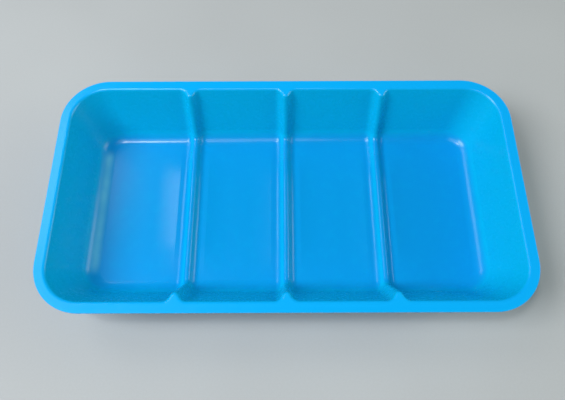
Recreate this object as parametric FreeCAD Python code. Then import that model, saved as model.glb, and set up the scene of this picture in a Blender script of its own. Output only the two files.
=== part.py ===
"""Thermoformed four-compartment tray: one sheet of plastic drawn into a basin with three low dividing ribs.

Millimetres. X runs along the tray, Y across it and Z up. The origin is at the middle of the underside, so the
tray stands on z = 0 and its flange is at the top.

The sheet has two skins, an upper and a lower one. Each is the outside of a solid that fills the basin, so
basin(offset) is called twice: with no offset for the upper skin, and with the sheet's thickness for the lower.
"""
import FreeCAD, Part
import math
import os

from FreeCAD import Vector

# Flange: the flat rim, cut from the sheet after forming
length = 250.0
width = 132.0
corner_radius = 25.0
flange = 5.4
flange_sheet = 1.0

# Basin: its walls lean outwards so that the tray lets go of the mould and nests in another
depth = 32.6
end_draft = 16.8
side_draft = 21.5
floor_corner_radius = 13.0
floor_radius = 8.5
rim_radius = 1.7
formed_sheet = 0.8

# Ribs: low folds of the sheet that run up one side wall, across and down the other
rib_count = 3
rib_pitch = 54.4
rib_height = 4.2
rib_flank_angle = 58.0
rib_crown_radius = 2.1
rib_foot_radius = 4.2

height = depth + formed_sheet
overshoot = 6.0
tolerance = 1e-4


def rounded_rectangle(half_x, half_y, radius, z):
    """The four sides and four corner arcs, in turn, of a rounded rectangle at height z."""
    edges = []
    for sx, sy in ((1, 1), (-1, 1), (-1, -1), (1, -1)):
        centre = Vector(sx * (half_x - radius), sy * (half_y - radius), z)
        on_end = centre + Vector(sx * radius, 0, 0)
        on_side = centre + Vector(0, sy * radius, 0)
        middle = centre + Vector(sx, sy, 0).normalize() * radius
        first, last = (on_end, on_side) if sx == sy else (on_side, on_end)
        if edges:
            edges.append(Part.LineSegment(edges[-1].EndPoint, first))
        edges.append(Part.Arc(first, middle, last))
    edges.append(Part.LineSegment(edges[-1].EndPoint, edges[0].StartPoint))
    return [edge.toShape() for edge in edges]


def wall_between(first, last):
    """The face swept by a straight line that joins two matching edges: flat for lines, leaning for arcs."""
    if isinstance(first.Curve, Part.Line):
        corners = [first.firstVertex(), first.lastVertex(), last.lastVertex(), last.firstVertex()]
        points = [corner.Point for corner in corners]
        return Part.Face(Part.makePolygon(points + points[:1]))
    rows = [edge.Curve.toNurbs(edge.FirstParameter, edge.LastParameter) for edge in (first, last)]
    surface = Part.BSplineSurface()
    surface.buildFromPolesMultsKnots(
        [row.getPoles() for row in rows], [2, 2], rows[0].getMultiplicities(), [0, 1], rows[0].getKnots(),
        False, False, 1, rows[0].Degree, [row.getWeights() for row in rows])
    return surface.toShape()


def solid_between(first, last):
    """The solid between two flat closed outlines whose edges match one to one."""
    faces = [wall_between(a, b) for a, b in zip(first, last)]
    faces += [Part.Face(Part.Wire(first)), Part.Face(Part.Wire(last))]
    shell = Part.Shell(faces)
    shell.sewShape()
    solid = Part.Solid(shell)
    if solid.Volume < 0:
        solid.reverse()
    return solid


def rib_section(offset):
    """Half of a rib's section, as (from its middle, above its foot): crown arc, straight flank and foot arc."""
    angle = math.radians(rib_flank_angle)
    crown, foot = rib_crown_radius - offset, rib_foot_radius + offset
    flank = (rib_height - (crown + foot) * (1 - math.cos(angle))) / math.sin(angle)
    crown_end = (crown * math.sin(angle), rib_height - crown * (1 - math.cos(angle)))
    flank_end = (crown_end[0] + flank * math.cos(angle), crown_end[1] - flank * math.sin(angle))
    foot_end = (flank_end[0] + foot * math.sin(angle), 0.0)
    foot_middle = (foot_end[0] - foot * math.sin(angle / 2), foot * (1 - math.cos(angle / 2)))
    return crown_end, flank_end, foot_middle, foot_end


def rib_centres():
    return [(i - (rib_count - 1) / 2) * rib_pitch for i in range(rib_count)]


def ribbed_face(offset, half_x, top):
    """The face, upright in XZ, of the space above a floor with ribs and below the height top."""
    section = rib_section(offset)
    edges = []
    last = Vector(-half_x, 0, 0)
    for x in rib_centres():
        right = [Vector(x + across, 0, up) for across, up in section]
        left = [Vector(x - across, 0, up) for across, up in reversed(section)]
        edges += [Part.LineSegment(last, left[0]), Part.Arc(left[0], left[1], left[2]),
                  Part.LineSegment(left[2], left[3]), Part.Arc(left[3], Vector(x, 0, rib_height), right[0]),
                  Part.LineSegment(right[0], right[1]), Part.Arc(right[1], right[2], right[3])]
        last = right[3]
    corners = [last, Vector(half_x, 0, 0), Vector(half_x, 0, top), Vector(-half_x, 0, top),
               Vector(-half_x, 0, 0)]
    edges += [Part.LineSegment(a, b) for a, b in zip(corners, corners[1:])]
    return Part.Face(Part.Wire([edge.toShape() for edge in edges]))


def ribbed_middle(half_x, wall_y, floor_z, radius, offset):
    """The part of the basin with ribs: their section carried along the floor, round both bends and up the walls."""
    draft = math.radians(side_draft)
    bend = 90 - side_draft
    foot_y = wall_y - (height - floor_z) * math.tan(draft)
    bend_y = foot_y - radius * math.tan(math.radians(bend / 2))
    axis = Vector(0, bend_y, floor_z + radius)
    up_wall = Vector(0, math.sin(draft), math.cos(draft))
    wall_length = (height + overshoot - axis.z + radius * math.sin(draft)) / math.cos(draft)

    section = ribbed_face(offset, half_x, radius).translated(Vector(0, bend_y, floor_z))
    run = section.extrude(Vector(0, -bend_y, 0))
    corner = section.revolve(axis, Vector(1, 0, 0), bend)
    wall = section.rotated(axis, Vector(1, 0, 0), bend).extrude(up_wall * wall_length)

    inner = [axis, axis + up_wall * wall_length]
    inner += [Vector(0, 0, inner[1].z), Vector(0, 0, axis.z), axis]
    core = Part.Face(Part.makePolygon(inner)).translated(Vector(-half_x, 0, 0)).extrude(Vector(2 * half_x, 0, 0))
    half = run.multiFuse([corner, wall, core])
    return half.fuse(half.mirror(Vector(), Vector(0, 1, 0)))


def basin(offset):
    """What fills the basin down to the skin that lies offset below the upper one."""
    end_lean, side_lean = (math.tan(math.radians(draft)) for draft in (end_draft, side_draft))
    end_x = length / 2 - flange + offset / math.cos(math.radians(end_draft))
    side_y = width / 2 - flange + offset / math.cos(math.radians(side_draft))
    floor_z = height - depth - offset
    drop = height - floor_z
    top = rounded_rectangle(end_x + overshoot * end_lean, side_y + overshoot * side_lean,
                            corner_radius - flange + offset, height + overshoot)
    bottom = rounded_rectangle(end_x - drop * end_lean, side_y - drop * side_lean,
                               floor_corner_radius + offset, floor_z)
    plain = solid_between(top, bottom)
    floor_edges = [e for e in plain.Edges if e.BoundBox.ZMax < floor_z + tolerance]
    plain = plain.makeFillet(floor_radius + offset, floor_edges)

    last_rib = rib_centres()[-1] + rib_section(offset)[-1][0]
    corner_start = end_x - drop * end_lean - floor_corner_radius - offset
    half_middle = (last_rib + corner_start) / 2
    gap = Part.makeBox(2 * half_middle, 2 * width, 4 * height, Vector(-half_middle, -width, -height))
    middle = ribbed_middle(half_middle, side_y, floor_z, floor_radius + offset, offset)
    return plain.cut(gap).fuse(middle).removeSplitter()


def rounded_bend(body, z, radius):
    """The body with the bend between its walls and its flange rounded, at the flange's face at height z."""
    outer = length / 2 - flange / 2
    for face in body.Faces:
        box = face.BoundBox
        if box.ZLength < tolerance and abs(box.ZMax - z) < tolerance and box.XMax > outer:
            inner_wires = [wire for wire in face.Wires if wire.BoundBox.XMax < outer]
            edges = [edge for wire in inner_wires for edge in wire.Edges]
    return body.makeFillet(radius, edges)


def tray():
    """The whole sheet: the flange, and between the two skins the walls, the floor and the ribs."""
    flange_bottom = height - flange_sheet
    outline = rounded_rectangle(length / 2, width / 2, corner_radius, flange_bottom)
    rim = Part.Face(Part.Wire(outline)).extrude(Vector(0, 0, flange_sheet))
    above_flange = Part.makeBox(2 * length, 2 * width, 2 * height,
                                Vector(-length, -width, height - flange_sheet / 2))
    body = basin(formed_sheet).cut(above_flange).fuse(rim).cut(basin(0.0)).removeSplitter()
    return rounded_bend(body, height, rim_radius)


os.makedirs("parts", exist_ok=True)
tray().Solids[0].exportStep("parts/tray.step")
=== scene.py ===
import math

import bpy
from mathutils import Matrix, Vector


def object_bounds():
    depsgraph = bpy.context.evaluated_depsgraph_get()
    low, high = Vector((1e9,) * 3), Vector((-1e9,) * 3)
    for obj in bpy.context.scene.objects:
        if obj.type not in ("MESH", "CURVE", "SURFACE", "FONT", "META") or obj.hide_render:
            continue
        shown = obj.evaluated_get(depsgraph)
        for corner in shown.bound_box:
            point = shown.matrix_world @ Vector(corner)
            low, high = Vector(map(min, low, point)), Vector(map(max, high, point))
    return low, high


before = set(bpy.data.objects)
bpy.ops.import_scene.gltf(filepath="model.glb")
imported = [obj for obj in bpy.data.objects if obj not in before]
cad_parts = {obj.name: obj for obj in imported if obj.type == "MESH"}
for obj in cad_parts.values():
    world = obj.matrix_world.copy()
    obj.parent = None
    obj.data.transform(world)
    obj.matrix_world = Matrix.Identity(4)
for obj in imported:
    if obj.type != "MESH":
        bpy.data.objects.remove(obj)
cad_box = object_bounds()

# Table: the plain matt top that the tray stands on, of pale grey laminate with a fine speckle and
# faint clouds. It lies just under the underside of the tray.
table_reach = 1.5
table_gap = 0.0002
table_grey = (0.425, 0.45, 0.465)
darkest, palest = 0.94, 1.08
table_roughness, table_specular = 0.7, 0.2
speckle_size, speckle_share = 0.0011, 0.35
cloud_size = 0.16
dark_stop, pale_stop = 0.35, 1.0

bpy.ops.mesh.primitive_plane_add(size=2 * table_reach, location=(0, 0, cad_box[0][2] - table_gap))
table = bpy.context.object
table.name = "table_top"
laminate = bpy.data.materials.new("grey_laminate")
laminate.use_nodes = True
nodes, links = laminate.node_tree.nodes, laminate.node_tree.links
surface = nodes["Principled BSDF"]
surface.inputs["Roughness"].default_value = table_roughness
surface.inputs["Specular IOR Level"].default_value = table_specular
coordinates = nodes.new("ShaderNodeTexCoord")
speckle = nodes.new("ShaderNodeTexNoise")
speckle.inputs["Scale"].default_value = 1 / speckle_size
speckle.inputs["Detail"].default_value = 3
cloud = nodes.new("ShaderNodeTexNoise")
cloud.inputs["Scale"].default_value = 1 / cloud_size
cloud.inputs["Detail"].default_value = 2
both = nodes.new("ShaderNodeMath")
both.operation = "MULTIPLY_ADD"
both.inputs[1].default_value = speckle_share
shade = nodes.new("ShaderNodeValToRGB")
for stop, position, tone in zip(shade.color_ramp.elements, (dark_stop, pale_stop), (darkest, palest)):
    stop.position = position
    stop.color = (*[c * tone for c in table_grey], 1)
links.new(coordinates.outputs["Object"], speckle.inputs["Vector"])
links.new(coordinates.outputs["Object"], cloud.inputs["Vector"])
links.new(speckle.outputs["Fac"], both.inputs[0])
links.new(cloud.outputs["Fac"], both.inputs[2])
links.new(both.outputs["Value"], shade.inputs["Fac"])
links.new(shade.outputs["Color"], surface.inputs["Base Color"])
table.data.materials.append(laminate)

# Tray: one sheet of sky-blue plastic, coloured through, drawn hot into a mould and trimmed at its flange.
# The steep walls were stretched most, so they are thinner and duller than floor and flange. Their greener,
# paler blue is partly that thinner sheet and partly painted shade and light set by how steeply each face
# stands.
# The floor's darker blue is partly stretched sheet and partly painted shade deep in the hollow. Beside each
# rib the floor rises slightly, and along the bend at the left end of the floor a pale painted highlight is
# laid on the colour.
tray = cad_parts["tray"]
# Painted shade: the floor colour is darker than the flange colour to stand for shade deep in the hollow.
# The wall colour is greener and paler to stand for shade and light on steep faces. Both sit on top of the
# sheet's own tint.
floor_blue_and_painted_shade = (0.0004, 0.29, 0.69)
flange_blue = (0.0010, 0.39, 0.88)
wall_blue_and_painted_shade = (0.0004, 0.45, 0.77)
specular = 0.3
steep, level = 0.35, 0.97
floor_top, flange_low = 0.010, 0.032
mottle_size, mottle_share = 0.006, 0.30
flat_roughness, wall_roughness = 0.20, 0.27
smear_size, smear_share = 0.003, 0.06
# Painted highlight: a pale band along the bend at the left end of the floor, patchy in strength.
bend_highlight_pale = (0.16, 0.60, 0.80)
bend_highlight_strength, bend_highlight_least = 0.75, 0.65
bend_highlight_place, bend_highlight_width, bend_highlight_reach, bend_highlight_fade = 0.1066, 0.0040, 0.040, 0.008
patch_size, patch_low, patch_high = 0.020, 0.30, 0.65
rib_pitch, rib_foot = 0.0544, 0.0085
last_trough = 1.5 * rib_pitch
apron_reach, apron_radius = 0.022, 0.090
apron_half_length, apron_fade = 0.018, 0.024
ripple_size, ripple_height = 0.020, 0.00010
grain_size, grain_height = 0.0011, 0.000005

blue_plastic = bpy.data.materials.new("blue_plastic")
blue_plastic.use_nodes = True
nodes, links = blue_plastic.node_tree.nodes, blue_plastic.node_tree.links
surface = nodes["Principled BSDF"]
surface.inputs["Specular IOR Level"].default_value = specular
coordinates = nodes.new("ShaderNodeTexCoord")
axes = nodes.new("ShaderNodeSeparateXYZ")
links.new(coordinates.outputs["Object"], axes.inputs["Vector"])
geometry = nodes.new("ShaderNodeNewGeometry")
facing = nodes.new("ShaderNodeSeparateXYZ")
links.new(geometry.outputs["Normal"], facing.inputs["Vector"])


def reckon(operation, *terms):
    """One step of arithmetic on node outputs and numbers in the tray's material."""
    step = nodes.new("ShaderNodeMath")
    step.operation = operation
    for socket, term in zip(step.inputs, terms):
        if isinstance(term, (int, float)):
            socket.default_value = term
        else:
            links.new(term, socket)
    return step.outputs["Value"]


def blend(value, start, end, first=0.0, last=1.0):
    """A smooth step from first, where value is at start, to last, where it is at end."""
    step = nodes.new("ShaderNodeMapRange")
    step.interpolation_type = "SMOOTHSTEP"
    links.new(value, step.inputs["Value"])
    for name, number in zip(("From Min", "From Max", "To Min", "To Max"), (start, end, first, last)):
        step.inputs[name].default_value = number
    return step.outputs["Result"]


def noise(size, detail=2):
    """Noise in the tray's own coordinates with features of the given size."""
    texture = nodes.new("ShaderNodeTexNoise")
    texture.inputs["Scale"].default_value = 1 / size
    texture.inputs["Detail"].default_value = detail
    links.new(coordinates.outputs["Object"], texture.inputs["Vector"])
    return texture.outputs["Fac"]


def mix(first, second, share):
    """Two colours, or the outputs of earlier mixes, blended by share."""
    step = nodes.new("ShaderNodeMix")
    step.data_type = "RGBA"
    for name, colour in (("A", first), ("B", second)):
        socket = [s for s in step.inputs if s.name == name and s.type == "RGBA"][0]
        if isinstance(colour, tuple):
            socket.default_value = (*colour, 1)
        else:
            links.new(colour, socket)
    links.new(share, step.inputs["Factor"])
    return [s for s in step.outputs if s.type == "RGBA"][0]


from_middle = reckon("ABSOLUTE", axes.outputs["X"])
from_centre_line = reckon("ABSOLUTE", axes.outputs["Y"])
flatness = blend(reckon("ABSOLUTE", facing.outputs["Z"]), steep, level)

mottle = reckon("MULTIPLY_ADD", noise(mottle_size), mottle_share, -mottle_share / 2)
# Painted shade: darker towards the floor of the hollow, and the greener, paler wall colour on steep faces.
level_blue_with_painted_depth_shade = mix(floor_blue_and_painted_shade, flange_blue, blend(axes.outputs["Z"], floor_top, flange_low))
blue = mix(wall_blue_and_painted_shade, level_blue_with_painted_depth_shade, reckon("ADD", flatness, mottle))
# Painted highlight laid on the colour along the bend at the left end of the floor, in patches.
from_bend = reckon("ABSOLUTE", reckon("ADD", axes.outputs["X"], bend_highlight_place))
beside_bend = blend(from_bend, 0.0, bend_highlight_width, 1.0, 0.0)
along_bend = blend(from_centre_line, bend_highlight_reach - bend_highlight_fade, bend_highlight_reach, 1.0, 0.0)
highlight_patches = blend(noise(patch_size, 3), patch_low, patch_high, bend_highlight_least, 1.0)
highlight_patches = reckon("MULTIPLY", highlight_patches, bend_highlight_strength)
painted_bend_highlight = reckon("MULTIPLY", reckon("MULTIPLY", beside_bend, along_bend), highlight_patches)
links.new(mix(blue, bend_highlight_pale, painted_bend_highlight), surface.inputs["Base Color"])

dulling = reckon("MULTIPLY_ADD", flatness, flat_roughness - wall_roughness, wall_roughness)
smear = reckon("MULTIPLY_ADD", noise(smear_size), smear_share, reckon("SUBTRACT", dulling, smear_share / 2))
links.new(smear, surface.inputs["Roughness"])

from_rib = reckon("PINGPONG", reckon("MINIMUM", from_middle, last_trough), rib_pitch / 2)
past_foot = reckon("MAXIMUM", from_rib, rib_foot)
inside = reckon("MAXIMUM", reckon("SUBTRACT", apron_reach, past_foot), 0.0)
rise = reckon("MULTIPLY", reckon("MULTIPLY", inside, inside), 0.5 / apron_radius)
along_rib = blend(from_centre_line, apron_half_length, apron_half_length + apron_fade, 1.0, 0.0)
apron = reckon("MULTIPLY", rise, along_rib)
ripple = reckon("MULTIPLY", noise(ripple_size, 1), ripple_height)
grain = reckon("MULTIPLY", noise(grain_size), grain_height)
relief = nodes.new("ShaderNodeBump")
relief.inputs["Strength"].default_value = 1.0
relief.inputs["Distance"].default_value = 1.0
links.new(reckon("ADD", reckon("ADD", apron, ripple), grain), relief.inputs["Height"])
links.new(relief.outputs["Normal"], surface.inputs["Normal"])
tray.data.materials.clear()
tray.data.materials.append(blue_plastic)

# Studio: a broad window lamp high on the left, a small lamp nearer overhead, weak ones behind and in
# front of the tray, a low warm one that fills in from the right, and a dim even room.
room_colour, room_strength = (0.8, 0.95, 1, 1), 0.10
world = bpy.data.worlds.new("room")
world.use_nodes = True
world.node_tree.nodes["Background"].inputs["Color"].default_value = room_colour
world.node_tree.nodes["Background"].inputs["Strength"].default_value = room_strength
bpy.context.scene.world = world


def soft_lamp(name, place, size, power, colour=(1, 1, 1)):
    """A square area lamp at place, size across, that faces the tray."""
    data = bpy.data.lights.new(name, "AREA")
    data.shape = "SQUARE"
    data.size = size
    data.energy = power
    data.color = colour
    lamp = bpy.data.objects.new(name, data)
    facing_tray = (-Vector(place)).to_track_quat("-Z", "Y").to_matrix().to_4x4()
    lamp.matrix_world = Matrix.Translation(place) @ facing_tray
    bpy.context.collection.objects.link(lamp)


soft_lamp("window_lamp", (-0.82, -0.22, 1.00), 0.6, 13.0)
soft_lamp("overhead_lamp", (-0.39, -0.12, 1.23), 0.14, 3.2)
soft_lamp("back_lamp", (-0.71, 0.48, 0.98), 0.45, 2.0)
soft_lamp("front_lamp", (-0.13, -0.39, 1.23), 0.5, 2.0)
soft_lamp("fill_lamp", (1.24, 0.10, 0.36), 0.9, 9.5, (1, 1, 0.82))

# Camera: it looks down steeply at the tray from in front of it.
eye = Vector((-0.00175, -0.11275, 0.28415))
elevation, yaw, roll = (math.radians(a) for a in (67.3, -0.1, -0.31))
sensor_width, focal_length = 36, 33.38
ahead = Vector((
    math.sin(yaw) * math.cos(elevation),
    math.cos(yaw) * math.cos(elevation),
    -math.sin(elevation),
))
sideways = ahead.cross(Vector((0, 0, 1))).normalized()
above = sideways.cross(ahead)
right = sideways * math.cos(roll) + above * math.sin(roll)
up = above * math.cos(roll) - sideways * math.sin(roll)
lens = bpy.data.cameras.new("camera")
lens.sensor_width = sensor_width
lens.lens = focal_length
camera = bpy.data.objects.new("camera", lens)
camera.matrix_world = Matrix.Translation(eye) @ Matrix((right, up, -ahead)).transposed().to_4x4()
bpy.context.collection.objects.link(camera)
bpy.context.scene.camera = camera
bpy.context.scene.view_settings.view_transform = "Standard"
